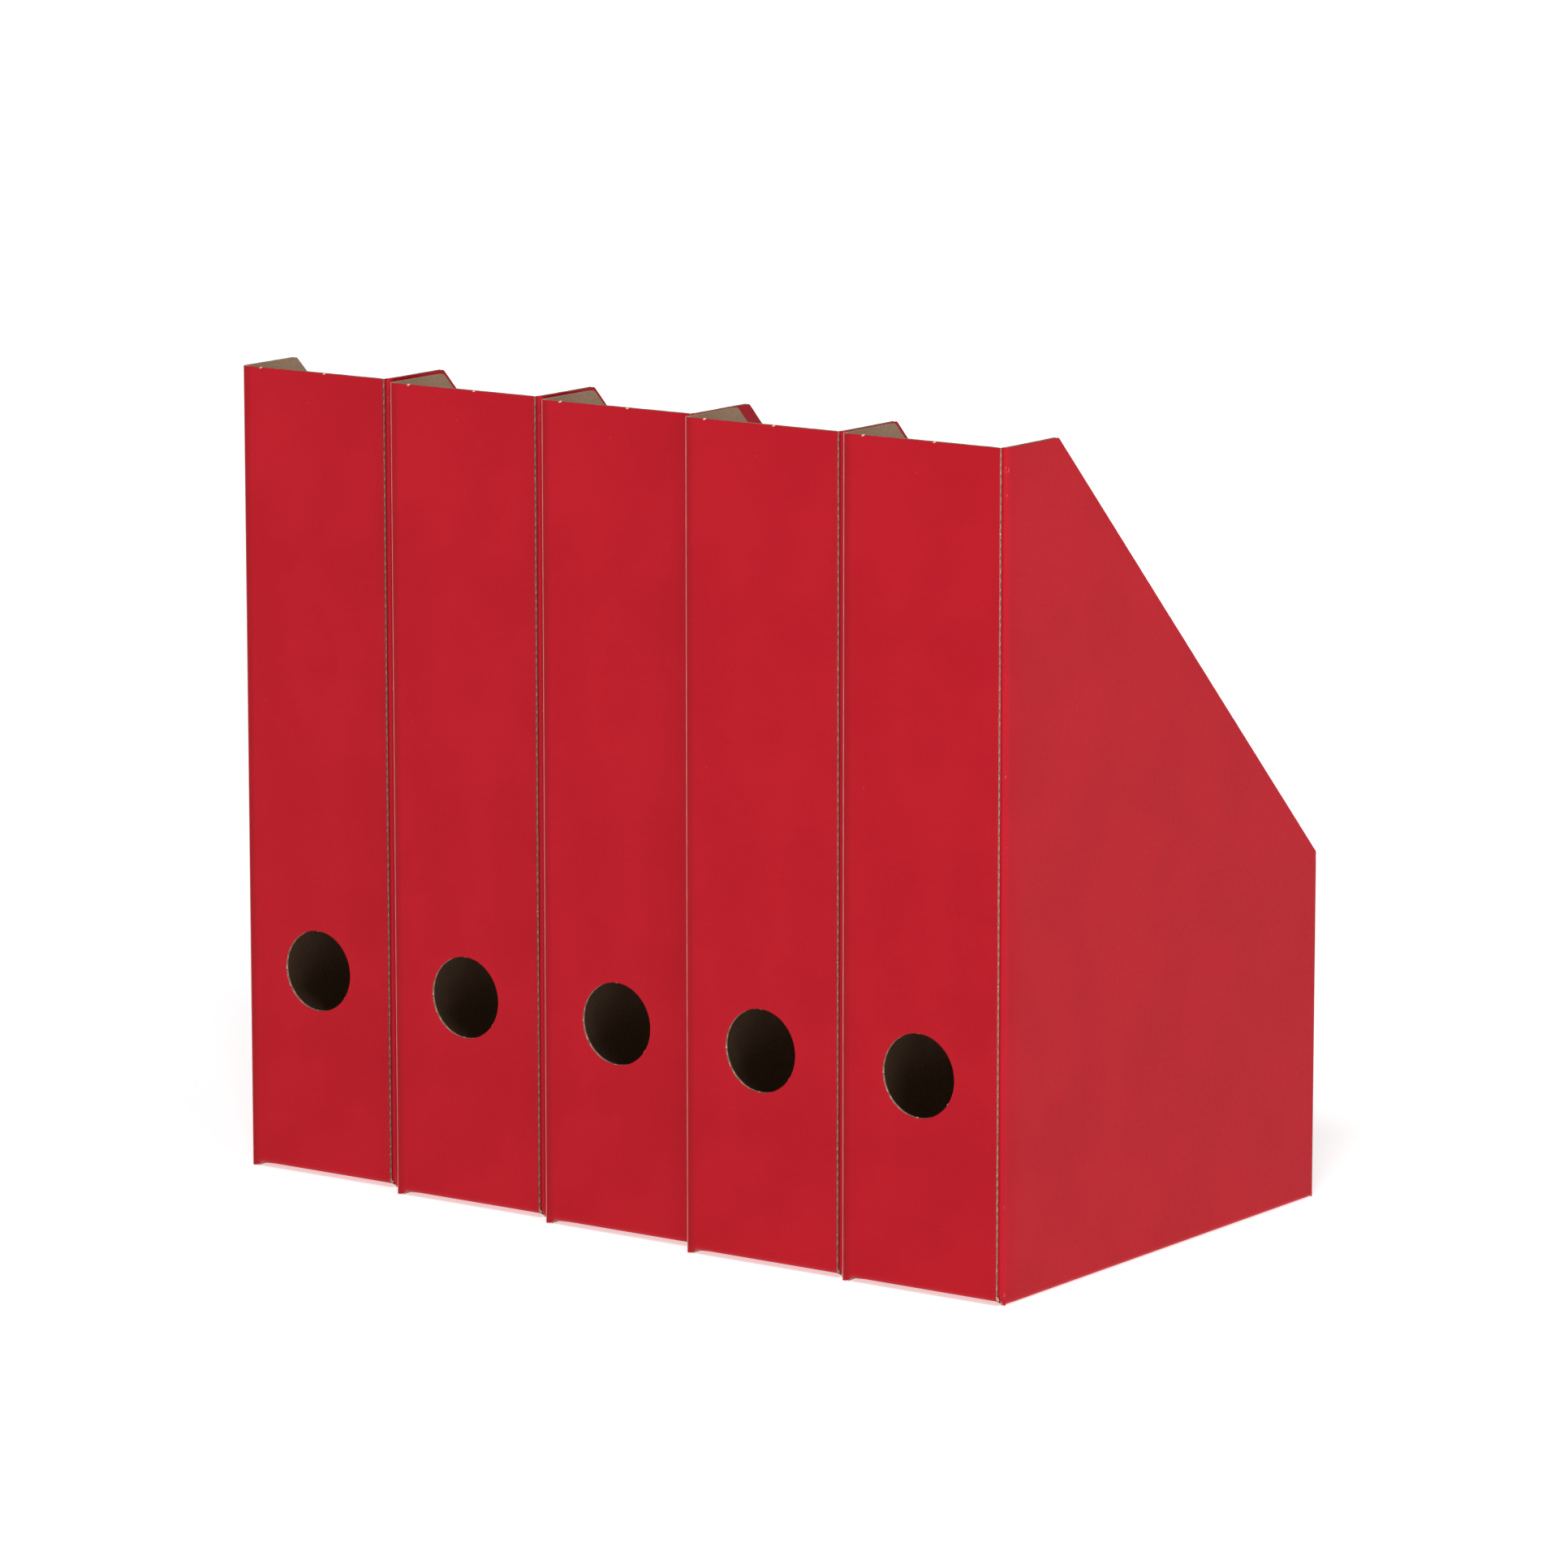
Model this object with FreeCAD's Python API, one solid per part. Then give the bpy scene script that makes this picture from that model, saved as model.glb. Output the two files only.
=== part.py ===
# Row of five identical cardboard magazine files, each folded from one die-cut blank of
# thin corrugated board. Units are millimetres, +Z is up, and every file faces -Y.
# The origin is the bottom centre of the whole row.
import FreeCAD
import Part
import os

V = FreeCAD.Vector

# One file, outside sizes.
WIDTH = 72.0
DEPTH = 220.0
HEIGHT = 320.0
TOP_FLAT_LEFT = 32.5
TOP_FLAT_RIGHT = 36.0
BACK_HEIGHT = 136.0
CORNER_R = 1.5

# Corrugated board and its creases.
BOARD = 1.8
BEND_OUT = 2.2
BEND_IN = BEND_OUT - BOARD

# Finger hole, centred on the front panel.
HOLE_R = 16.0
HOLE_Z = 83.0

# The front panel laps over the glue flap of the right wall and stops one board short.
FRONT_EDGE_X = WIDTH - BOARD
GLUE_FLAP_W = 16.0
GLUE_FLAP_TAPER = 9.0

# Floor: two interlocking halves below, two dust flaps glued on top of them.
FLOOR_SETBACK = 8.0
FLOOR_HOOK = 10.0
FLOOR_GAP = 0.4
DUST_FLAP_LEN = 88.0
DUST_FLAP_TAPER = 7.0
SIDE_CLEAR = 0.4
CREASE_NOTCH = 0.5
NUB_Z = 0.3

# Row: files stand loosely side by side, each further back than its right-hand neighbour.
# Gaps lie between one file and the next, from the left; setbacks are from the row's front.
GAPS = [6.0, 4.5, 0.6, 1.0]
SETBACKS = [20.5, 14.0, 9.0, 1.7, 0.0]
ROW_WIDTH = len(SETBACKS) * WIDTH + sum(GAPS)
ROW_DEPTH = DEPTH + max(SETBACKS)


def prism(points, direction):
    """Solid from a closed polygon pushed along a direction."""
    corners = [V(*p) for p in points]
    wire = Part.makePolygon(corners + corners[:1])
    return Part.Face(wire).extrude(V(*direction))


def plate(x0, y0, z0, x1, y1, z1):
    """Flat piece of board between two opposite corners."""
    return Part.makeBox(x1 - x0, y1 - y0, z1 - z0, V(x0, y0, z0))


def bend(centre, axis, length, quadrant):
    """Quarter-round crease: a tube sector that starts at centre and runs along axis."""
    outer = Part.makeCylinder(BEND_OUT, length, V(*centre), V(*axis))
    inner = Part.makeCylinder(BEND_IN, length, V(*centre), V(*axis))
    low = [min(0.0, BEND_OUT * s) for s in quadrant]
    size = [BEND_OUT if s else length for s in quadrant]
    corner = V(centre[0] + low[0], centre[1] + low[1], centre[2] + low[2])
    sector = Part.makeBox(size[0], size[1], size[2], corner)
    return outer.cut(inner).common(sector)


def side_outline(top_flat):
    """Profile of a side wall as a full-width prism: tall front, sloping cut, low back."""
    points = [
        (-1, 0, 0),
        (-1, DEPTH, 0),
        (-1, DEPTH, BACK_HEIGHT),
        (-1, top_flat, HEIGHT),
        (-1, 0, HEIGHT),
    ]
    body = prism(points, (WIDTH + 2, 0, 0))
    soft = []
    for edge in body.Edges:
        a, b = edge.Vertexes[0].Point, edge.Vertexes[1].Point
        along_x = abs(a.x - b.x) > 1.0
        on_cut = abs(a.y - top_flat) < 0.01 or abs(a.z - BACK_HEIGHT) < 0.01
        if along_x and on_cut:
            soft.append(edge)
    return body.makeFillet(CORNER_R, soft)


def left_wall():
    """Left side wall with its front, back and bottom creases."""
    r = BEND_OUT
    height = HEIGHT - NUB_Z
    wall = plate(0, r, r, BOARD, DEPTH - r, HEIGHT)
    front = bend((r, r, NUB_Z), (0, 0, 1), height, (-1, -1, 0))
    back = bend((r, DEPTH - r, NUB_Z), (0, 0, 1), height, (-1, 1, 0))
    start = r + CREASE_NOTCH
    bottom = bend((r, start, r), (0, 1, 0), DEPTH - 2 * start, (-1, 0, -1))
    # The side creases run a little below the wall's own lower edge.
    legs = plate(0, r, NUB_Z, BOARD, r + 0.3, r).fuse(
        plate(0, DEPTH - r - 0.3, NUB_Z, BOARD, DEPTH - r, r))
    return wall.multiFuse([front, back, bottom, legs]).common(side_outline(TOP_FLAT_LEFT))


def right_wall():
    """Right side wall. Its front crease turns in behind the front panel."""
    r = BEND_OUT
    height = HEIGHT - NUB_Z
    front_y = BOARD + r
    x = WIDTH - r
    wall = plate(WIDTH - BOARD, front_y, r, WIDTH, DEPTH - r, HEIGHT)
    front = bend((x, front_y, NUB_Z), (0, 0, 1), height, (1, -1, 0))
    back = bend((x, DEPTH - r, NUB_Z), (0, 0, 1), height, (1, 1, 0))
    start = front_y + CREASE_NOTCH
    length = DEPTH - r - CREASE_NOTCH - start
    bottom = bend((x, start, r), (0, 1, 0), length, (1, 0, -1))
    legs = plate(WIDTH - BOARD, front_y, NUB_Z, WIDTH, front_y + 0.3, r).fuse(
        plate(WIDTH - BOARD, DEPTH - r - 0.3, NUB_Z, WIDTH, DEPTH - r, r))
    wall = wall.multiFuse([front, back, bottom, legs]).common(side_outline(TOP_FLAT_RIGHT))
    # Die-cut relief at the lower end of the front crease, open to the floor.
    relief = prism([
        (x - 1, 0, -1),
        (x - 1, 0, 5.0),
        (x + 0.1, 0, 5.0),
        (WIDTH - 0.1, 0, NUB_Z),
        (WIDTH - 0.1, 0, -1),
    ], (0, front_y, 0))
    return wall.cut(relief)


def front_panel():
    """Front panel with the finger hole and its bottom crease."""
    r = BEND_OUT
    base = BOARD + r
    panel = plate(r, 0, base, FRONT_EDGE_X, BOARD, HEIGHT)
    crease = bend((r, r, base), (1, 0, 0), FRONT_EDGE_X - r, (0, -1, -1))
    hole = Part.makeCylinder(HOLE_R, 4 * BOARD, V(FRONT_EDGE_X / 2, -BOARD, HOLE_Z), V(0, 1, 0))
    return panel.fuse(crease).cut(hole)


def front_glue_flap():
    """Tapered flap of the right wall, glued behind the front panel."""
    x1 = WIDTH - BEND_OUT
    x0 = x1 - GLUE_FLAP_W
    low = 5.5
    high = HEIGHT - 1.0
    return prism([
        (x1, BOARD, low),
        (x1, BOARD, high),
        (x0, BOARD, high - GLUE_FLAP_TAPER),
        (x0, BOARD, low + GLUE_FLAP_TAPER),
    ], (0, BOARD, 0))


def back_panel():
    """Low back panel with its bottom crease."""
    r = BEND_OUT
    base = BOARD + r
    panel = plate(r, DEPTH - BOARD, base, WIDTH - r, DEPTH, BACK_HEIGHT)
    crease = bend((r, DEPTH - r, base), (1, 0, 0), WIDTH - 2 * r, (0, 1, -1))
    return panel.fuse(crease)


def floor_left():
    """Left half of the lower floor layer; its front half hooks past the middle."""
    mid = WIDTH / 2
    y0 = FLOOR_SETBACK
    y1 = DEPTH - FLOOR_SETBACK
    r = BEND_OUT
    return prism([
        (r, y0 - 4, 0),
        (r + 5, y0, 0),
        (mid + FLOOR_HOOK, y0, 0),
        (mid + FLOOR_HOOK, DEPTH / 2 - 5, 0),
        (mid - FLOOR_HOOK, DEPTH / 2 + 5, 0),
        (mid - FLOOR_HOOK, y1, 0),
        (r + 5, y1, 0),
        (r, y1 + 4, 0),
    ], (0, 0, BOARD))


def floor_right():
    """Right half of the lower floor layer; its back half hooks past the middle."""
    mid = WIDTH / 2 + FLOOR_GAP
    y0 = FLOOR_SETBACK
    y1 = DEPTH - FLOOR_SETBACK
    x = WIDTH - BEND_OUT
    return prism([
        (x, y0 - 3, 0),
        (x - 5, y0, 0),
        (mid + FLOOR_HOOK, y0, 0),
        (mid + FLOOR_HOOK, DEPTH / 2 - 5 + FLOOR_GAP, 0),
        (mid - FLOOR_HOOK, DEPTH / 2 + 5 + FLOOR_GAP, 0),
        (mid - FLOOR_HOOK, y1, 0),
        (x - 5, y1, 0),
        (x, y1 + 4, 0),
    ], (0, 0, BOARD))


def dust_flap(at_back):
    """Tapered flap folded in from the foot of the front or back panel."""
    x0 = BEND_OUT + SIDE_CLEAR
    x1 = WIDTH - BEND_OUT - SIDE_CLEAR
    y0 = BEND_OUT
    y1 = BEND_OUT + DUST_FLAP_LEN
    if at_back:
        y0 = DEPTH - BEND_OUT
        y1 = DEPTH - BEND_OUT - DUST_FLAP_LEN
    return prism([
        (x0, y0, BOARD),
        (x1, y0, BOARD),
        (x1 - DUST_FLAP_TAPER, y1, BOARD),
        (x0 + DUST_FLAP_TAPER, y1, BOARD),
    ], (0, 0, BOARD))


os.makedirs("parts", exist_ok=True)

PIECES = {
    "left_wall": left_wall(),
    "right_wall": right_wall(),
    "front_panel": front_panel(),
    "front_glue_flap": front_glue_flap(),
    "back_panel": back_panel(),
    "floor_left": floor_left(),
    "floor_right": floor_right(),
    "front_dust_flap": dust_flap(False),
    "back_dust_flap": dust_flap(True),
}

for number, setback in enumerate(SETBACKS, 1):
    place = V(
        -ROW_WIDTH / 2 + (number - 1) * WIDTH + sum(GAPS[:number - 1]),
        -ROW_DEPTH / 2 + setback,
        0,
    )
    for name, shape in PIECES.items():
        copy = shape.copy()
        copy.translate(place)
        copy.exportStep("parts/file_%d_%s.step" % (number, name))
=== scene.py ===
"""Looks for a row of five cardboard magazine files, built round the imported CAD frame.

Every panel is real corrugated board: a printed outer liner, a wavy fluted medium and an
inner kraft liner, each a closed shell. Lengths in the building code are millimetres in the
frame of one file: x from its left face, y from its front face, z from the floor.
"""

import math

import bmesh
import bpy
import numpy as np
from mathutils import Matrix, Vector, geometry


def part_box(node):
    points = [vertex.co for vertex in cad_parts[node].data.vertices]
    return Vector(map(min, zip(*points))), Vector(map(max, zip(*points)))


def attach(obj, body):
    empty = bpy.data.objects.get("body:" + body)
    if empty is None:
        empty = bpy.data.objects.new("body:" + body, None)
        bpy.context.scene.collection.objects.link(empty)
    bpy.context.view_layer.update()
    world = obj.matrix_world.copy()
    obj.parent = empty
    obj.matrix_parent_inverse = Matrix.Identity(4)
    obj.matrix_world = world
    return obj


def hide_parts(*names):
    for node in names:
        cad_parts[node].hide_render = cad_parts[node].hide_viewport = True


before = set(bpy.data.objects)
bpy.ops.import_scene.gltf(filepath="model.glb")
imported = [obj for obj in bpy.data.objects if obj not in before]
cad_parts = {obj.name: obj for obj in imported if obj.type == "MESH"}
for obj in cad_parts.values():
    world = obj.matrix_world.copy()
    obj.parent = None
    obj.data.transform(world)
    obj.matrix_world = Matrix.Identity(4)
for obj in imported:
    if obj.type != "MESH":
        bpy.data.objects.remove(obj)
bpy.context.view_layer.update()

MM = 0.001
FILES = 5

# One file, as in the CAD part.
first_low, first_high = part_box("file_1_left_wall")
right_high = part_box("file_1_right_wall")[1]
WIDTH = round((right_high.x - first_low.x) / MM, 3)
DEPTH = round((first_high.y - first_low.y) / MM, 3)
HEIGHT = round(first_high.z / MM, 3)
BOARD = 1.8
BEND = 2.2
ARC = BEND * math.pi / 2
TOP_FLAT_LEFT = 32.5
TOP_FLAT_RIGHT = 36.0
BACK_HEIGHT = 136.0
NUB = 0.3
PANEL_X = WIDTH - BOARD
PANEL_BASE = BOARD + BEND
HOLE_R = 16.0
HOLE_Z = 83.0
GLUE_FLAP_W = 16.0
GLUE_FLAP_TAPER = 9.0
GLUE_FLAP_LOW = 5.5
FLOOR_SETBACK = 8.0
FLOOR_HOOK = 10.0
FLOOR_SKEW = 5.0
FLOOR_GAP = 0.4
DUST_FLAP_LEN = 88.0
DUST_FLAP_TAPER = 7.0
SIDE_CLEAR = 0.4

# Layers of the board: paper liner, flutes of the medium between the liners.
LINER = 0.25
FLUTE_PITCH = 3.3
MEDIUM = 0.16
WAVE = (BOARD - 2 * LINER - MEDIUM) / 2
WAVE_GAP = 0.002
CORE_GAP = 0.003

# Die cuts: bevel of the printed face, wander of the line, and how far the board is pinched
# beside the front panel's edge and hole.
CUT_BEVEL = 0.10
CUT_STEP = 2.2
CUT_ROUGH = 0.035
CRUSH = 0.34
CRUSH_REACH = 1.3
CORE_INSET = 0.08

# The foot of the front panel curls under less near its left corner.
CORNER_CURL = 0.04
CORNER_REACH = 2.2

# Beyond its front crease the right wall eases out over a few millimetres.
FOLD_EASE = 0.30
FOLD_REACH = 5.5
FOLD_COLUMNS = (1.5, 3.2, 5.2)

# Spacing of the mesh in creases, in the open and near the floor.
ARC_STEPS = 9
GRID = 15.0
FOOT_GRID = 8.0
FLAP_GRID = 12.0
FOOT_ROWS = (3.4, 6.5)
CREASE_NOTCH = 0.3

# Torn nicks, where the waste was held: degrees round the hole, heights on the front
# panel's cut edge, and places along its top.
RIM_NICKS = (90, -36, -93, -152, 182)
EDGE_NICKS = (288.5, 153.0, 143.0, 121.0, 50.0)
TOP_NICKS = (9.8, 41.4)

RED, KRAFT, RAW = 0, 1, 2

# Cracked ink on the right front crease: height, half length and strength of each patch,
# and the strength between patches.
SCUFFS = ((4.0, 5.0, 1.0), (38.0, 3.5, 0.9), (118.0, 3.0, 0.75), (166.0, 3.0, 0.95),
          (172.5, 3.0, 0.85), (199.0, 4.0, 0.9), (303.0, 4.0, 0.95), (312.0, 4.5, 1.0))
SCUFF_FLOOR = 0.3


# ---------------------------------------------------------------- materials


def rgb(red, green, blue):
    """Linear colour from 0-255 sRGB."""
    out = []
    for value in (red, green, blue):
        c = value / 255
        out.append(c / 12.92 if c <= 0.04045 else ((c + 0.055) / 1.055) ** 2.4)
    return (*out, 1.0)


class Shader:
    """Small helper that adds and links nodes of one material."""

    def __init__(self, name):
        self.material = bpy.data.materials.new(name)
        self.material.use_nodes = True
        self.tree = self.material.node_tree
        self.surface = next(n for n in self.tree.nodes if n.type == "BSDF_PRINCIPLED")

    def put(self, target, value):
        if isinstance(value, bpy.types.NodeSocket):
            self.tree.links.new(value, target)
        else:
            target.default_value = value

    def add(self, kind, sockets=(), **settings):
        node = self.tree.nodes.new("ShaderNode" + kind)
        for key, value in settings.items():
            setattr(node, key, value)
        for key, value in dict(sockets).items():
            self.put(node.inputs[key], value)
        return node

    def maths(self, operation, a, b=0.0):
        return self.add("Math", {0: a, 1: b}, operation=operation).outputs[0]

    def ramp(self, value, low, high):
        """0 below low, 1 above high, smooth between."""
        node = self.add("MapRange", {0: value, 1: low, 2: high},
                        interpolation_type="SMOOTHSTEP")
        return node.outputs[0]

    def mix(self, factor, a, b):
        node = self.add("Mix", data_type="RGBA")
        self.put(node.inputs[0], factor)
        self.put(node.inputs[6], a)
        self.put(node.inputs[7], b)
        return node.outputs[2]

    def noise(self, vector, scale, detail=2.0, rough=0.5):
        node = self.add("TexNoise", {"Vector": vector, "Scale": scale, "Detail": detail,
                                     "Roughness": rough})
        return node.outputs["Fac"]

    def stretched(self, vector, x, y, z):
        node = self.add("VectorMath", {0: vector, 1: (x, y, z)}, operation="MULTIPLY")
        return node.outputs[0]

    def patches(self, height):
        """Strength of the scuffs at a height in millimetres."""
        node = self.add("ValToRGB", {0: self.maths("DIVIDE", height, HEIGHT)})
        stops = node.color_ramp.elements
        stops[0].color = stops[1].color = (SCUFF_FLOOR, SCUFF_FLOOR, SCUFF_FLOOR, 1)
        for middle, half, strength in SCUFFS:
            for offset, value in ((-half, SCUFF_FLOOR), (0, strength), (half, SCUFF_FLOOR)):
                place = middle + offset
                if 0 < place < HEIGHT:
                    stops.new(place / HEIGHT).color = (value, value, value, 1)
        return node.outputs[0]

    def millimetres(self):
        """Place on the piece, in millimetres of its own file."""
        place = self.add("TexCoord").outputs["Object"]
        node = self.add("VectorMath", {0: place, "Scale": 1 / MM}, operation="SCALE")
        return node.outputs[0]

    def washboard(self, place, amplitude):
        """Height in millimetres of the flutes showing faintly through a liner."""
        z = self.add("SeparateXYZ", {0: place}).outputs[2]
        turns = self.maths("MULTIPLY", z, 2 * math.pi / FLUTE_PITCH)
        return self.maths("MULTIPLY", self.maths("SINE", turns), amplitude)

    def relief(self, height):
        """Bump from a height in millimetres."""
        node = self.add("Bump", {"Strength": 1.0, "Distance": MM, "Height": height})
        self.put(self.surface.inputs["Normal"], node.outputs[0])


def red_print(name, crease_light):
    """Satin red ink on paper liner: faint mottle, fibre grain, dust and cracked creases, with
    painted shade beside the left front crease and painted light on the right one.

    The second argument says how much the right front crease is painted paler, as painted light
    for the shade between files, from 0 to 1.
    """
    s = Shader(name)
    mm = s.millimetres()
    cloudy = s.ramp(s.noise(mm, 0.03, 3), 0.35, 0.65)
    colour = s.mix(cloudy, rgb(175, 11, 29), rgb(180, 15, 32))
    grain = s.noise(mm, 2.4, 3, 0.6)
    colour = s.mix(s.ramp(grain, 0.54, 0.80), colour, rgb(187, 27, 41))
    fibres = s.noise(s.stretched(mm, 1.0, 1.0, 5.0), 0.9, 2)
    colour = s.mix(s.ramp(fibres, 0.60, 0.80), colour, rgb(165, 9, 26))
    # Sparse pale dust.
    dust = s.add("TexVoronoi", {"Vector": mm, "Scale": 0.085, "Randomness": 1.0})
    near = s.maths("SUBTRACT", 1.0, s.ramp(dust.outputs["Distance"], 0.008, 0.018))
    chosen = s.add("SeparateColor", {0: dust.outputs["Color"]}).outputs[0]
    chosen = s.maths("GREATER_THAN", chosen, 0.80)
    speck = s.maths("MULTIPLY", s.maths("MULTIPLY", near, chosen), 0.5)
    colour = s.mix(speck, colour, rgb(222, 140, 140))
    # Ink rubbed to a pale line along the left front crease.
    axes = s.add("SeparateXYZ", {0: mm}).outputs
    line = s.maths("SUBTRACT", 1.0, s.ramp(axes[0], 0.75, 1.5))
    front = s.maths("SUBTRACT", 1.0, s.ramp(axes[1], 1.3, 2.4))
    uneven = s.ramp(s.noise(s.stretched(mm, 1.0, 1.0, 0.3), 0.6, 3), 0.25, 0.75)
    rubbed = s.maths("MULTIPLY", s.maths("MULTIPLY", line, front),
                     s.maths("ADD", s.maths("MULTIPLY", uneven, 0.3), 0.65))
    # Painted shade: the front is darkened over a few millimetres beside the left front crease,
    # where the panel turns away from the light.
    painted_crease_shade = s.maths("MULTIPLY", s.maths("SUBTRACT", 1.0, s.ramp(axes[0], 2.6, 5.2)), front)
    colour = s.mix(s.maths("MULTIPLY", painted_crease_shade, 0.4), colour, rgb(138, 16, 24))
    colour = s.mix(rubbed, colour, rgb(255, 178, 168))
    # Ink cracked through to the paper in places on the right front crease.
    near_crease = s.ramp(axes[0], PANEL_X - 0.2, PANEL_X + 0.7)
    near_crease = s.maths("MULTIPLY", near_crease,
                          s.maths("SUBTRACT", 1.0, s.ramp(axes[1], 3.4, 5.2)))
    wear = s.maths("MULTIPLY", near_crease, s.patches(axes[2]))
    cracks = s.noise(s.stretched(mm, 3.2, 3.2, 0.5), 1.0, 3, 0.6)
    level = s.maths("ADD", cracks, s.maths("MULTIPLY", wear, 0.31))
    broken = s.ramp(level, 0.86, 0.93)
    # Painted light: the right front crease is painted paler, by the second argument, to stand
    # in for light lost in the shade between files.
    colour = s.mix(s.maths("MULTIPLY", near_crease, crease_light), colour, rgb(205, 36, 52))
    deep = s.mix(s.ramp(wear, 0.75, 1.0), rgb(222, 92, 102), rgb(240, 196, 188))
    colour = s.mix(broken, colour, deep)
    s.put(s.surface.inputs["Base Color"], colour)
    gloss = s.ramp(s.noise(mm, 0.6, 3), 0.2, 0.8)
    gloss = s.maths("ADD", s.maths("MULTIPLY", gloss, 0.10), 0.46)
    rough = s.maths("ADD", gloss, s.maths("MULTIPLY", broken, 0.3))
    s.put(s.surface.inputs["Roughness"], rough)
    s.surface.inputs["Specular IOR Level"].default_value = 0.12
    height = s.maths("ADD", s.washboard(mm, 0.006), s.maths("MULTIPLY", grain, 0.012))
    height = s.maths("SUBTRACT", height, s.maths("MULTIPLY", broken, 0.05))
    s.relief(height)
    return s.material


def kraft_liner():
    """Bare brown liner with long pulp fibres and darker and paler flecks."""
    s = Shader("kraft_liner")
    mm = s.millimetres()
    cloudy = s.ramp(s.noise(mm, 0.05, 3), 0.3, 0.7)
    colour = s.mix(cloudy, rgb(158, 129, 104), rgb(170, 141, 115))
    strands = s.noise(s.stretched(mm, 0.5, 0.5, 2.6), 1.1, 4, 0.7)
    colour = s.mix(s.ramp(strands, 0.50, 0.72), colour, rgb(186, 160, 134))
    crossed = s.noise(s.stretched(mm, 1.9, 1.9, 0.5), 1.2, 4, 0.7)
    colour = s.mix(s.ramp(crossed, 0.52, 0.74), colour, rgb(134, 106, 84))
    flecks = s.noise(mm, 1.6, 2)
    colour = s.mix(s.ramp(flecks, 0.68, 0.74), colour, rgb(112, 86, 66))
    colour = s.mix(s.ramp(s.noise(mm, 1.3, 2), 0.70, 0.76), colour, rgb(206, 184, 160))
    s.put(s.surface.inputs["Base Color"], colour)
    rough = s.maths("ADD", s.maths("MULTIPLY", strands, 0.12), 0.78)
    s.put(s.surface.inputs["Roughness"], rough)
    s.surface.inputs["Specular IOR Level"].default_value = 0.25
    height = s.maths("ADD", s.washboard(mm, 0.014), s.maths("MULTIPLY", strands, 0.04))
    s.relief(height)
    return s.material


def raw_board():
    """Cut edges and the fluted medium: torn pale pulp, here and there stained with ink."""
    s = Shader("raw_cut_board")
    mm = s.millimetres()
    fuzz = s.noise(mm, 3.0, 4, 0.7)
    colour = s.mix(s.ramp(fuzz, 0.35, 0.68), rgb(190, 158, 134), rgb(232, 212, 190))
    stain = s.noise(mm, 0.5, 3)
    colour = s.mix(s.ramp(stain, 0.46, 0.70), colour, rgb(216, 136, 128))
    s.put(s.surface.inputs["Base Color"], colour)
    s.put(s.surface.inputs["Roughness"], s.maths("ADD", s.maths("MULTIPLY", fuzz, 0.1), 0.85))
    s.surface.inputs["Specular IOR Level"].default_value = 0.15
    s.relief(s.maths("MULTIPLY", fuzz, 0.10))
    return s.material


# ---------------------------------------------------------------- outlines in the flat


def cut(a, b, rng=None, step=CUT_STEP):
    """Points from a towards b, b left out; with rng the line wanders as a die cut does."""
    a, b = np.array(a, float), np.array(b, float)
    count = max(1, int(np.linalg.norm(b - a) / step))
    along = (b - a) / max(np.linalg.norm(b - a), 1e-9)
    side = np.array([-along[1], along[0]])
    out = []
    for i in range(count):
        p = a + (b - a) * i / count
        if rng is not None and i:
            p = p + side * rng.uniform(-CUT_ROUGH, CUT_ROUGH)
        out.append(tuple(p))
    return out


def outline(*corners, rng=None, rough=()):
    """Closed loop through the corners; the sides numbered in rough are die cuts."""
    loop = []
    for i, corner in enumerate(corners):
        after = corners[(i + 1) % len(corners)]
        loop += cut(corner, after, rng if i in rough else None)
    return loop


def inside(points, loops):
    """Which points lie inside the first loop and outside the others."""
    result = np.zeros(len(points), bool)
    x, y = points[:, 0], points[:, 1]
    for loop in loops:
        a = np.array(loop)
        b = np.roll(a, -1, axis=0)
        for (ax, ay), (bx, by) in zip(a, b):
            if ay == by:
                continue
            crosses = (ay > y) != (by > y)
            result ^= crosses & (x < (bx - ax) * (y - ay) / (by - ay) + ax)
    return result


def lattice(us, vs, loops, gap=0.12):
    """Grid points inside the loops, clear of their sides."""
    grid = np.array([(u, v) for u in us for v in vs])
    grid = grid[inside(grid, loops)]
    near = np.full(len(grid), np.inf)
    for loop in loops:
        for a, b in zip(np.array(loop), np.roll(loop, -1, axis=0)):
            along = b - a
            share = np.clip((grid - a) @ along / max(along @ along, 1e-12), 0, 1)
            near = np.minimum(near, np.hypot(*(a + share[:, None] * along - grid).T))
    return grid[near > gap]


def triangles(loops, us, vs):
    """Constrained triangulation of the loops with a grid inside."""
    points, edges = [], []
    for loop in loops:
        base = len(points)
        points += loop
        edges += [(base + i, base + (i + 1) % len(loop)) for i in range(len(loop))]
    points += [tuple(p) for p in lattice(us, vs, loops)]
    made = geometry.delaunay_2d_cdt([Vector(p) for p in points], edges, [], 0, 1e-6)
    flat = np.array([tuple(v) for v in made[0]])
    faces = np.array([f for f in made[2] if len(f) == 3])
    centres = flat[faces].mean(axis=1)
    return flat, faces[inside(centres, loops)]


# ---------------------------------------------------------------- from flat to folded


def smooth(t):
    """0 below 0, 1 above 1, with an even start and end."""
    t = np.clip(t, 0, 1)
    return t * t * (3 - 2 * t)


def wall_place(u, v, w, front=0.0, mirror=False):
    """Side wall: front crease, flat, back crease. w is the depth below the printed face."""
    length = DEPTH - front - 2 * BEND
    r = BEND - w
    first = np.clip(u / ARC, 0, 1) * math.pi / 2
    last = np.clip((u - ARC - length) / ARC, 0, 1) * math.pi / 2
    flat_y = front + BEND + np.clip(u - ARC, 0, length)
    x = np.where(u < ARC, BEND - r * np.sin(first), BEND - r * np.cos(last))
    y = np.where(u < ARC, front + BEND - r * np.cos(first), flat_y + r * np.sin(last))
    if mirror:
        x = WIDTH - x
    return np.stack([x, y, v + 0 * w], axis=-1)


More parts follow.
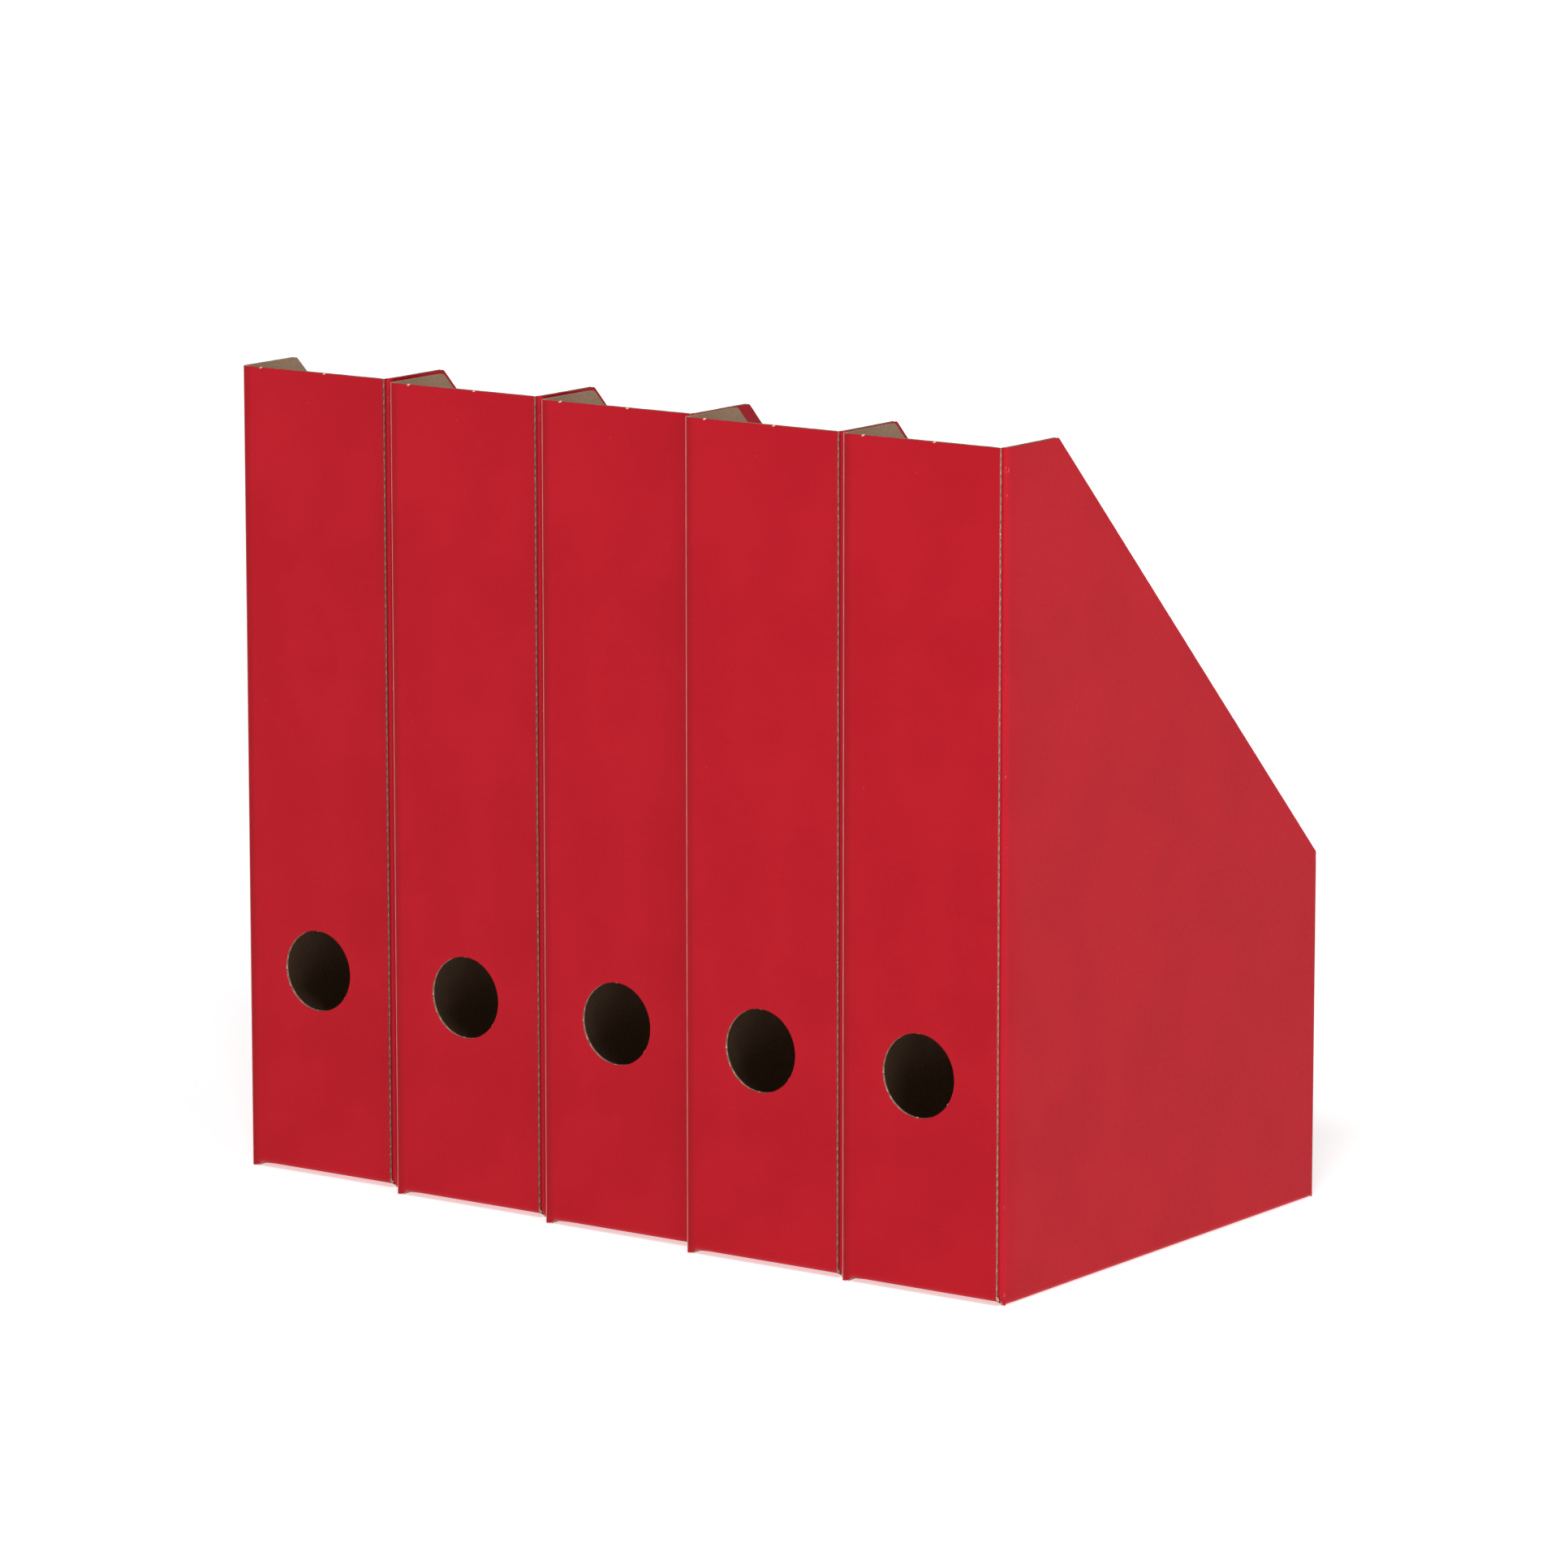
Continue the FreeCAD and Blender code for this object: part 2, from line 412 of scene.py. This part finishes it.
def wall_foot_place(u, v, w, mirror=False):
    """Crease along the foot of a side wall. u runs along y, v round the bend."""
    angle = v / BEND
    r = BEND - w
    x = BEND - r * np.cos(angle)
    if mirror:
        x = WIDTH - x
    return np.stack([x, u + 0 * w, BEND - r * np.sin(angle)], axis=-1)


def pinched(u, v, w):
    """Depth in the front panel, less near its cut edge and hole, where the die crushed it."""
    from_edge = np.abs(PANEL_X - u)
    from_hole = np.abs(np.hypot(u - PANEL_X / 2, v - HOLE_Z) - HOLE_R)
    near = np.exp(-(np.minimum(from_edge, from_hole) / CRUSH_REACH) ** 2)
    return w * (1 - CRUSH * near)


def front_place(u, v, w, back=False):
    """Front or back panel: upright, with its foot crease for v below the bend."""
    curl = 1.0
    if not back:
        w = pinched(u, v, w)
        curl = CORNER_CURL + (1 - CORNER_CURL) * smooth((u - BEND) / CORNER_REACH)
    radius = BEND / curl
    angle = curl * np.clip((PANEL_BASE - v) / BEND, 0, math.pi / 2)
    y = radius - (radius - w) * np.cos(angle)
    z = np.where(v < PANEL_BASE, PANEL_BASE - (radius - w) * np.sin(angle), v)
    if back:
        y = DEPTH - y
    return np.stack([u + 0 * w, y, z + 0 * w], axis=-1)


def flap_place(u, v, w):
    """Glue flap behind the front panel, printed face forward."""
    return np.stack([u + 0 * w, BOARD + w + 0 * u, v + 0 * w], axis=-1)


def level_place(u, v, w, z=0.0):
    """Flat-lying board, printed face down."""
    return np.stack([u + 0 * w, v + 0 * w, z + w + 0 * u], axis=-1)


# ---------------------------------------------------------------- shells


class Piece:
    """Collects the shells of one piece and turns them into a mesh object."""

    def __init__(self):
        self.points = []
        self.faces = []
        self.slots = []
        self.count = 0

    def add(self, points, faces, slots):
        self.points.append(points)
        self.faces += [[i + self.count for i in f] for f in faces]
        self.slots += slots
        self.count += len(points)

    def skin(self, surfaces, face_depth, back_depth, face_slot, back_slot=KRAFT):
        """One liner: a closed shell between two depths, bevelled at its visible face.

        surfaces is a list of (flat points, triangles, place); they are joined where they meet.
        """
        outer, inner, tris = [], [], []
        base = 0
        for flat, faces, place in surfaces:
            zero = np.zeros(len(flat))
            outer.append(place(flat[:, 0], flat[:, 1], zero + face_depth))
            inner.append(place(flat[:, 0], flat[:, 1], zero + back_depth))
            tris.append(faces + base)
            base += len(flat)
        outer, inner = np.concatenate(outer), np.concatenate(inner)
        tris = np.concatenate(tris)
        first, same = np.unique(np.round(outer, 3), axis=0, return_index=True,
                                return_inverse=True)[1:]
        outer, inner, tris = outer[first], inner[first], same.reshape(-1)[tris]
        tris = tris[(tris[:, 0] != tris[:, 1]) & (tris[:, 1] != tris[:, 2])
                    & (tris[:, 2] != tris[:, 0])]
        sides = {}
        for t in tris:
            for a, b in ((t[0], t[1]), (t[1], t[2]), (t[2], t[0])):
                if (b, a) in sides:
                    del sides[(b, a)]
                else:
                    sides[(a, b)] = True
        rim = sorted({i for side in sides for i in side})
        number = {v: i for i, v in enumerate(rim)}
        inward = np.zeros((len(rim), 3))
        down = inner - outer
        down /= np.linalg.norm(down, axis=1)[:, None]
        for a, b in sides:
            along = outer[b] - outer[a]
            along /= max(np.linalg.norm(along), 1e-9)
            for end in (a, b):
                inward[number[end]] += np.cross(down[end], along)
        centre = outer[tris].mean(axis=1)
        lengths = np.linalg.norm(inward, axis=1)[:, None]
        inward /= np.maximum(lengths, 1e-9)
        # The winding of the flat decides which way the cross product points.
        a, b = next(iter(sides))
        owner = next(i for i, t in enumerate(tris) if a in t and b in t)
        if np.dot(inward[number[a]], centre[owner] - outer[a]) < 0:
            inward = -inward
        full = outer[rim] + down[rim] * CUT_BEVEL
        top = outer.copy()
        top[rim] += inward * CUT_BEVEL
        n = len(top)
        points = np.concatenate([top, inner, full])
        faces = [list(t) for t in tris]
        slots = [face_slot] * len(faces)
        faces += [[t[2] + n, t[1] + n, t[0] + n] for t in tris]
        slots += [back_slot] * len(tris)
        for a, b in sides:
            fa, fb = 2 * n + number[a], 2 * n + number[b]
            faces.append([b, a, fa, fb])
            faces.append([fb, fa, a + n, b + n])
            slots += [face_slot, RAW]
        self.add(points, faces, slots)

    def medium(self, loops, place, columns, rows_along_u=False):
        """Fluted sheet inside the board. Its flutes run along u, or along v if asked."""
        across = 0 if rows_along_u else 1
        along = 1 - across
        low = min(p[across] for p in loops[0]) + 0.05
        high = max(p[across] for p in loops[0]) - 0.05
        step = FLUTE_PITCH / 8
        strips, open_strips = [], []
        for q in np.arange(low, high, step):
            cuts = []
            for loop in loops:
                a = np.array(loop)
                b = np.roll(a, -1, axis=0)
                hit = (a[:, across] > q) != (b[:, across] > q)
                share = (q - a[hit, across]) / (b[hit, across] - a[hit, across])
                cuts += list(a[hit, along] + share * (b[hit, along] - a[hit, along]))
            cuts.sort()
            spans = [(cuts[i] + 0.06, cuts[i + 1] - 0.06) for i in range(0, len(cuts) - 1, 2)]
            if len(spans) != len(open_strips):
                strips += open_strips
                open_strips = [[] for _ in spans]
            for strip, span in zip(open_strips, spans):
                strip.append((q, *span))
        strips += open_strips
        for strip in strips:
            if len(strip) > 1:
                self.strip(np.array(strip), place, columns, rows_along_u)

    def strip(self, rows, place, columns, rows_along_u):
        """One corrugated closed shell over rows of (place across, start, end)."""
        q = rows[:, 0][:, None]
        share = np.array([0, 0.05, *np.linspace(0, 1, columns)[1:-1], 0.95, 1])[None, :]
        p = rows[:, 1][:, None] * (1 - share) + rows[:, 2][:, None] * share
        q = q + 0 * p
        phase = 2 * math.pi * q / FLUTE_PITCH
        slope = 2 * math.pi * WAVE / FLUTE_PITCH * np.cos(phase)
        half = MEDIUM / 2 * np.sqrt(1 + slope ** 2)
        centre = BOARD / 2 + WAVE * np.sin(phase)
        u, v = (q, p) if rows_along_u else (p, q)
        sheets = []
        for sign in (-1, 1):
            w = np.clip(centre + sign * half, LINER + WAVE_GAP, BOARD - LINER - WAVE_GAP)
            sheets.append(place(u.ravel(), v.ravel(), w.ravel()))
        r, c = p.shape
        index = np.arange(r * c).reshape(r, c)
        low, high = index, index + r * c
        faces = []
        for i in range(r - 1):
            for j in range(c - 1):
                faces.append([low[i, j], low[i, j + 1], low[i + 1, j + 1], low[i + 1, j]])
                faces.append([high[i + 1, j], high[i + 1, j + 1], high[i, j + 1], high[i, j]])
        rim = ([index[0, j] for j in range(c)] + [index[i, c - 1] for i in range(1, r)]
               + [index[r - 1, j] for j in range(c - 2, -1, -1)]
               + [index[i, 0] for i in range(r - 2, 0, -1)])
        for a, b in zip(rim, rim[1:] + rim[:1]):
            faces.append([b, a, a + r * c, b + r * c])
        self.add(np.concatenate(sheets), faces, [RAW] * len(faces))

    def tab(self, at, out, along, thick, size, rng):
        """Tiny torn paper tab where the waste was held to the blank."""
        ball = bmesh.new()
        bmesh.ops.create_icosphere(ball, subdivisions=2, radius=1.0)
        out, along, thick = (np.array(v, float) for v in (out, along, thick))
        points = []
        for vert in ball.verts:
            a, b, c = vert.co
            a *= rng.uniform(0.8, 1.2)
            b *= rng.uniform(0.8, 1.2)
            points.append(np.array(at) + along * a * size + out * (b * 0.5 + a * 0.3) * size
                          + thick * c * 0.3)
        faces = [[v.index for v in f.verts] for f in ball.faces]
        ball.free()
        self.add(np.array(points), faces, [RAW] * len(faces))

    def build(self, name, red, warp=None):
        points = np.concatenate(self.points)
        if warp is not None:
            points = warp(points)
        mesh = bpy.data.meshes.new(name)
        mesh.from_pydata((points * MM).tolist(), [], [[int(i) for i in f] for f in self.faces])
        mesh.polygons.foreach_set("material_index", self.slots)
        for material in (red, kraft, raw):
            mesh.materials.append(material)
        work = bmesh.new()
        work.from_mesh(mesh)
        bmesh.ops.recalc_face_normals(work, faces=work.faces)
        work.to_mesh(mesh)
        work.free()
        mesh.shade_smooth()
        mesh.set_sharp_from_angle(angle=math.radians(34))
        mesh.update()
        return mesh


# ---------------------------------------------------------------- the panels of one file


def arc_columns(start):
    return [start + ARC * i / ARC_STEPS for i in range(ARC_STEPS + 1)]


def spaced(low, high, step=GRID):
    count = max(2, int(round((high - low) / step)) + 1)
    return list(np.linspace(low, high, count))


def slope_z(y, top_flat):
    """Height of the sloping cut at depth y."""
    share = (DEPTH - y) / (DEPTH - top_flat)
    return min(HEIGHT, BACK_HEIGHT + (HEIGHT - BACK_HEIGHT) * share)


def board(piece, surfaces):
    """Both liners of a panel."""
    piece.skin(surfaces, 0.0, LINER, RED)
    piece.skin(surfaces, BOARD, BOARD - LINER, KRAFT)


def crushed(piece, loop, place, us, vs):
    """The board's core in a crease, where the flutes are pressed flat."""
    flat, faces = triangles([loop], us, vs)
    surface = [(flat, faces, place)]
    piece.skin(surface, LINER + CORE_GAP, BOARD - LINER - CORE_GAP, RAW, RAW)


def side_wall(rng, mirror):
    """Left wall, or the right wall if mirrored. The right one starts a board further back."""
    front = BOARD if mirror else 0.0
    top_flat = TOP_FLAT_RIGHT if mirror else TOP_FLAT_LEFT
    length = DEPTH - front - 2 * BEND
    end = 2 * ARC + length

    def place(u, v, w):
        return wall_place(u, v, w, front, mirror)

    def foot(u, v, w):
        return wall_foot_place(u, v, w, mirror)

    def y_to_u(y):
        return y - front - BEND + ARC

    arcs = arc_columns(0)[1:-1]
    if mirror:
        low_edge = []
        for u in arc_columns(0):
            x = WIDTH - BEND + BEND * math.sin(u / BEND)
            z = np.clip(5.0 - (x - WIDTH + 2.1) * 2.35, NUB, 5.0)
            low_edge.append((u, z + rng.uniform(-0.12, 0.12)))
    else:
        low_edge = [(u, NUB + 0.3 * (1 - u / ARC)) for u in arc_columns(0)]
    foot_us = spaced(ARC + CREASE_NOTCH, ARC + length - CREASE_NOTCH, FOOT_GRID)
    back_arc = arc_columns(ARC + length)
    loop = low_edge + [(foot_us[0], NUB)]
    loop += [(u, BEND) for u in foot_us]
    loop += [(foot_us[-1], NUB)] + [(u, NUB) for u in back_arc]
    low_vs = [BEND, *FOOT_ROWS] + spaced(NUB, BACK_HEIGHT - 3)[1:]
    vs = low_vs + spaced(BACK_HEIGHT - 3, HEIGHT - 2.5)[1:]
    loop += [(end, v) for v in low_vs]
    back_top = []
    for u in reversed(back_arc):
        y = DEPTH - BEND + BEND * math.sin((u - ARC - length) / BEND)
        back_top.append((u, slope_z(y, top_flat)))
    loop += back_top[:-1]
    top_u = y_to_u(top_flat)
    rounding = [(top_u + 0.5, slope_z(top_flat + 0.5, top_flat)), (top_u + 0.15, HEIGHT - 0.3),
                (top_u - 0.2, HEIGHT - 0.06), (top_u - 0.6, HEIGHT)]
    loop += cut(back_top[-1], rounding[0], rng)
    loop += rounding[:-1] + cut(rounding[-1], (ARC, HEIGHT), rng)
    loop += [(u, HEIGHT) for u in reversed(arc_columns(0))]
    loop += [(0, v) for v in reversed(vs) if v > low_edge[0][1]]
    eased = [ARC + u for u in FOLD_COLUMNS]
    us = arcs + eased + spaced(ARC, ARC + length - 1.5) + back_arc[:-1]
    flat, faces = triangles([loop], us, vs)
    surfaces = [(flat, faces, place)]
    shift = front + BEND - ARC
    foot_ys = [u + shift for u in foot_us]
    foot_vs = arc_columns(0)[1:-1]
    foot_loop = [(y, 0.0) for y in foot_ys] + [(foot_ys[-1], v) for v in foot_vs]
    foot_loop += [(y, ARC) for y in reversed(foot_ys)]
    foot_loop += [(foot_ys[0], v) for v in reversed(foot_vs)]
    foot_flat, foot_faces = triangles([foot_loop], foot_ys[1:-1], foot_vs)
    surfaces.append((foot_flat, foot_faces[:, ::-1], foot))

    piece = Piece()
    board(piece, surfaces)
    core = [(u, z + CORE_INSET) for u, z in low_edge] + [(ARC, v) for v in vs]
    core += [(u, HEIGHT - CORE_INSET) for u in reversed(arc_columns(0))]
    core += [(0, v) for v in reversed(vs) if v > low_edge[0][1]]
    crushed(piece, core, place, arcs, vs)
    core = [(u, NUB + CORE_INSET) for u in back_arc] + [(end, v) for v in low_vs]
    core += [(u, z - CORE_INSET) for u, z in back_top]
    core += [(back_arc[0], v) for v in reversed(low_vs)]
    crushed(piece, core, place, back_arc[1:-1], low_vs)
    crushed(piece, [(y, v + (0.05 if v < 1 else -0.05)) for y, v in foot_loop],
            foot, foot_ys[1:-1], foot_vs)
    field = [(ARC + 0.05, BEND), (ARC + length - 0.05, BEND), back_top[-1], rounding[0],
             rounding[2], (ARC + 0.05, HEIGHT)]
    piece.medium([field], place, 6)
    return piece


def crease_rows():
    """v of the rows round a front or back panel's foot crease, from the bottom up."""
    return arc_columns(PANEL_BASE - ARC)


def front_panel(rng):
    """Front panel with its finger hole, foot crease and torn nicks."""
    rows = crease_rows()
    hole_x = PANEL_X / 2
    turns = [2 * math.pi * i / 72 for i in range(72)]
    hole = [(hole_x + (HOLE_R + rng.uniform(-0.03, 0.03)) * math.cos(a),
             HOLE_Z + (HOLE_R + rng.uniform(-0.03, 0.03)) * math.sin(a)) for a in turns]
    us = [BEND + 0.5, BEND + 1.0, BEND + 1.5]
    us += list(np.arange(BEND + CORNER_REACH, PANEL_X - 1, 4.0))
    loop = [(u, rows[0]) for u in (BEND, *us)] + [(PANEL_X, v) for v in rows[:-1]]
    loop += cut((PANEL_X, rows[-1]), (PANEL_X, HEIGHT), rng)
    loop += cut((PANEL_X, HEIGHT), (BEND, HEIGHT), rng)
    loop += cut((BEND, HEIGHT), (BEND, rows[-1]), None, FOOT_GRID)
    loop += [(BEND, v) for v in reversed(rows[1:])]
    vs = rows[1:] + [6.0, 9.0] + spaced(14.0, HEIGHT - 4, FLAP_GRID)
    flat, faces = triangles([loop, hole], us, vs)
    piece = Piece()
    board(piece, [(flat, faces, front_place)])
    core = [(BEND, v) for v in reversed(rows)] + [(u, rows[0]) for u in us]
    core += [(PANEL_X - CORE_INSET, v) for v in rows]
    core += [(u, rows[-1]) for u in reversed(us)]
    crushed(piece, core, front_place, us, rows[1:-1])
    field = [(BEND + 0.02, rows[-1]), (PANEL_X, rows[-1]), (PANEL_X, HEIGHT),
             (BEND + 0.02, HEIGHT)]
    piece.medium([field, hole], front_place, 3)
    for z in EDGE_NICKS:
        piece.tab((PANEL_X, BOARD * 0.2, z), (1, 0, 0), (0, 0, 1), (0, 1, 0),
                  rng.uniform(0.35, 0.5), rng)
    for x in TOP_NICKS:
        piece.tab((x, 0.08, HEIGHT - 0.1), (0, 0, 1), (1, 0, 0), (0, 1, 0),
                  rng.uniform(0.7, 0.85), rng)
    for angle in RIM_NICKS:
        a = math.radians(angle)
        outward = (math.cos(a), 0, math.sin(a))
        at = (hole_x + HOLE_R * outward[0], BOARD * 0.25, HOLE_Z + HOLE_R * outward[2])
        piece.tab(at, [-c for c in outward], (-outward[2], 0, outward[0]), (0, 1, 0),
                  rng.uniform(0.4, 0.6), rng)
    return piece


def back_panel(rng):
    """Low back panel with its foot crease."""
    rows = crease_rows()
    x0, x1 = BEND, WIDTH - BEND
    us = list(np.arange(x0 + 4, x1 - 2, FOOT_GRID))
    loop = [(u, rows[0]) for u in (x0, *us)] + [(x1, v) for v in rows[:-1]]
    loop += cut((x1, rows[-1]), (x1, BACK_HEIGHT), None, FOOT_GRID)
    loop += cut((x1, BACK_HEIGHT), (x0, BACK_HEIGHT), rng)
    loop += cut((x0, BACK_HEIGHT), (x0, rows[-1]), None, FOOT_GRID)
    loop += [(x0, v) for v in reversed(rows[1:])]

    def place(u, v, w):
        return front_place(u, v, w, back=True)

    flat, faces = triangles([loop], us, rows[1:] + spaced(14.0, BACK_HEIGHT - 6))
    piece = Piece()
    board(piece, [(flat, faces, place)])
    core = [(x0, v) for v in reversed(rows)] + [(u, rows[0]) for u in us]
    core += [(x1, v) for v in rows] + [(u, rows[-1]) for u in reversed(us)]
    crushed(piece, core, place, us, rows[1:-1])
    field = [(x0 + 0.02, rows[-1]), (x1 - 0.02, rows[-1]), (x1 - 0.02, BACK_HEIGHT),
             (x0 + 0.02, BACK_HEIGHT)]
    piece.medium([field], place, 3)
    return piece


def plain_flap(corners, place, rng, rough, flutes_along_v=False, columns=4):
    """A flat flap with straight sides: two liners and the medium."""
    loop = outline(*corners, rng=rng, rough=rough)
    across, along = zip(*corners)
    us = spaced(min(across), max(across), FLAP_GRID)
    vs = spaced(min(along), max(along), FLAP_GRID)
    flat, faces = triangles([loop], us, vs)
    piece = Piece()
    board(piece, [(flat, faces, place)])
    piece.medium([list(corners)], place, columns, rows_along_u=flutes_along_v)
    return piece


def glue_flap(rng):
    """Tapered flap glued behind the front panel."""
    x1 = WIDTH - BEND
    x0 = x1 - GLUE_FLAP_W
    low, high = GLUE_FLAP_LOW, HEIGHT - 1
    corners = ((x1, low), (x1, high),
               (x0, high - GLUE_FLAP_TAPER), (x0, low + GLUE_FLAP_TAPER))
    return plain_flap(corners, flap_place, rng, (1, 2, 3))


def floor_half(rng, right):
    """Half of the lower floor layer, hooked past the middle of the file."""
    y0, y1 = FLOOR_SETBACK, DEPTH - FLOOR_SETBACK
    shift = FLOOR_GAP if right else 0.0
    x_in, x_out = WIDTH / 2 + shift - FLOOR_HOOK, WIDTH / 2 + shift + FLOOR_HOOK
    y_in, y_out = DEPTH / 2 + FLOOR_SKEW + shift, DEPTH / 2 - FLOOR_SKEW + shift
    if right:
        x = WIDTH - BEND
        corners = ((x, y0 - 3), (x, y1 + 4), (x - 5, y1), (x_in, y1),
                   (x_in, y_in), (x_out, y_out), (x_out, y0), (x - 5, y0))
        rough = (1, 2, 3, 4, 5, 6, 7)
    else:
        x = BEND
        corners = ((x, y0 - 1), (x + 5, y0), (x_out, y0), (x_out, y_out),
                   (x_in, y_in), (x_in, y1), (x + 5, y1), (x, y1 + 4))
        rough = (0, 1, 2, 3, 4, 5, 6)
    return plain_flap(corners, level_place, rng, rough, flutes_along_v=True, columns=3)


def dust_flap(rng, at_back):
    """Tapered flap folded in from the foot of the front or back panel."""
    x0, x1 = BEND + SIDE_CLEAR, WIDTH - BEND - SIDE_CLEAR
    y0, y1 = BEND, BEND + DUST_FLAP_LEN
    if at_back:
        y0, y1 = DEPTH - y0, DEPTH - y1
    corners = ((x0, y0), (x1, y0), (x1 - DUST_FLAP_TAPER, y1), (x0 + DUST_FLAP_TAPER, y1))

    def place(u, v, w):
        return level_place(u, v, w, BOARD)

    return plain_flap(corners, place, rng, (1, 2, 3), columns=3)


# ---------------------------------------------------------------- slight bowing


def bow(name, rng):
    """Each panel bows a little between its creases, and each file differently."""
    strength = rng.uniform(0.10, 0.22)
    tilt = rng.uniform(0.8, 1.2)

    def hump(across, up):
        across, up = np.clip(across, 0, 1), np.clip(up, 0, 1)
        return strength * (np.sin(math.pi * across) * np.sin(math.pi * up ** tilt)) ** 2

    def wall(points):
        x, y, z = points.T
        inward = hump(y / DEPTH, z / (HEIGHT * 1.25))
        if name == "left_wall":
            return np.stack([x + inward, y, z], axis=1)
        eased = 1 - smooth((y - PANEL_BASE) / FOLD_REACH)
        inward += FOLD_EASE * eased * (x > WIDTH / 2)
        return np.stack([x - inward, y, z], axis=1)

    def front(points):
        x, y, z = points.T
        return np.stack([x, y + hump(x / WIDTH, z / HEIGHT), z], axis=1)

    return {"left_wall": wall, "right_wall": wall, "front_panel": front}.get(name)


MAKERS = {
    "left_wall": lambda rng: side_wall(rng, False),
    "right_wall": lambda rng: side_wall(rng, True),
    "front_panel": front_panel,
    "front_glue_flap": glue_flap,
    "back_panel": back_panel,
    "floor_left": lambda rng: floor_half(rng, False),
    "floor_right": lambda rng: floor_half(rng, True),
    "front_dust_flap": lambda rng: dust_flap(rng, False),
    "back_dust_flap": lambda rng: dust_flap(rng, True),
}

# The files are alike. Painted light: the right front crease is painted paler on every file,
# and more so on all but the last one, to make up for the shade that its neighbour throws on it
# in the row.
last_file_red = red_print("red_printed_liner", 0.22)
shade_offset_red = red_print("red_printed_liner_lit_crease", 0.80)
kraft, raw = kraft_liner(), raw_board()

for number in range(1, FILES + 1):
    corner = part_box(f"file_{number}_left_wall")[0]
    for order, (name, maker) in enumerate(MAKERS.items()):
        rng = np.random.default_rng(1000 * number + order)
        red = last_file_red if number == FILES else shade_offset_red
        mesh = maker(rng).build(f"file_{number}_{name}_board", red, bow(name, rng))
        piece = bpy.data.objects.new(mesh.name, mesh)
        bpy.context.scene.collection.objects.link(piece)
        piece.location = (corner.x, corner.y, 0)
        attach(piece, f"file_{number}")
        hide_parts(f"file_{number}_{name}")


# ---------------------------------------------------------------- floor, light, camera


# Glow of the floor under the row, and how much it rises further off, where it has to fade
# into the white surroundings. SKY is the strength of those.
GLOW_NEAR = 0.56
GLOW_RISE = 0.26
SKY = 0.22
FLOOR_Z = -0.0001

# What the two softboxes and the camera look at, in metres.
LIT_POINT = (0, 0, 0.15)
SEEN_POINT = (0.08835, -0.12025, 0.1863)
CAMERA_YAW = 35.42
CAMERA_PITCH = 10.41
CAMERA_DISTANCE = 2.987
LENS = 184.57


def pale_floor():
    """Matt pale floor that stands in for the studio's white ground."""
    mesh = bpy.data.meshes.new("studio_floor")
    work = bmesh.new()
    bmesh.ops.create_grid(work, x_segments=12, y_segments=12, size=25)
    work.to_mesh(mesh)
    work.free()
    s = Shader("pale_floor")
    place = s.add("TexCoord").outputs["Object"]
    soft = s.noise(place, 1.5, 2)
    s.put(s.surface.inputs["Base Color"], s.mix(soft, rgb(247, 247, 247), rgb(250, 250, 249)))
    s.put(s.surface.inputs["Roughness"], s.maths("ADD", s.maths("MULTIPLY", soft, 0.05), 0.7))
    s.surface.inputs["Specular IOR Level"].default_value = 0.1
    s.surface.inputs["Emission Color"].default_value = (1.0, 1.0, 1.0, 1.0)
    away = s.add("VectorMath", {0: place}, operation="LENGTH").outputs["Value"]
    glow = s.maths("ADD", s.maths("MULTIPLY", s.ramp(away, 0.3, 1.6), GLOW_RISE), GLOW_NEAR)
    s.put(s.surface.inputs["Emission Strength"], glow)
    mesh.materials.append(s.material)
    floor = bpy.data.objects.new("studio_floor", mesh)
    floor.location = (0, 0, FLOOR_Z)
    bpy.context.scene.collection.objects.link(floor)


def softbox(name, place, size, power):
    """Rectangular lamp that faces the middle of the row."""
    light = bpy.data.lights.new(name, "AREA")
    light.shape = "RECTANGLE"
    light.size, light.size_y = size
    light.energy = power
    lamp = bpy.data.objects.new(name, light)
    bpy.context.scene.collection.objects.link(lamp)
    lamp.location = place
    aim = Vector(LIT_POINT) - Vector(place)
    lamp.rotation_mode = "QUATERNION"
    lamp.rotation_quaternion = aim.to_track_quat("-Z", "Y")


def studio():
    """White surroundings, a key light from the front and a broad fill from the right."""
    world = bpy.data.worlds.new("studio")
    world.use_nodes = True
    back = world.node_tree.nodes["Background"]
    back.inputs["Color"].default_value = (1.0, 1.0, 1.0, 1.0)
    back.inputs["Strength"].default_value = SKY
    bpy.context.scene.world = world
    softbox("key", (1.50, -2.71, 3.14), (1.2, 1.2), 87)
    softbox("fill", (3.57, -1.44, 1.55), (2.4, 2.4), 38)


def camera():
    """View from the front right, slightly from above."""
    yaw, pitch = math.radians(CAMERA_YAW), math.radians(CAMERA_PITCH)
    back = Vector((math.sin(yaw) * math.cos(pitch), -math.cos(yaw) * math.cos(pitch),
                   math.sin(pitch)))
    data = bpy.data.cameras.new("camera")
    data.sensor_width = 36.0
    data.lens = LENS
    data.clip_start, data.clip_end = 0.05, 100
    eye = bpy.data.objects.new("camera", data)
    bpy.context.scene.collection.objects.link(eye)
    eye.location = Vector(SEEN_POINT) + back * CAMERA_DISTANCE
    eye.rotation_mode = "QUATERNION"
    eye.rotation_quaternion = (-back).to_track_quat("-Z", "Y")
    bpy.context.scene.camera = eye


pale_floor()
studio()
camera()
bpy.context.scene.view_settings.view_transform = "Standard"
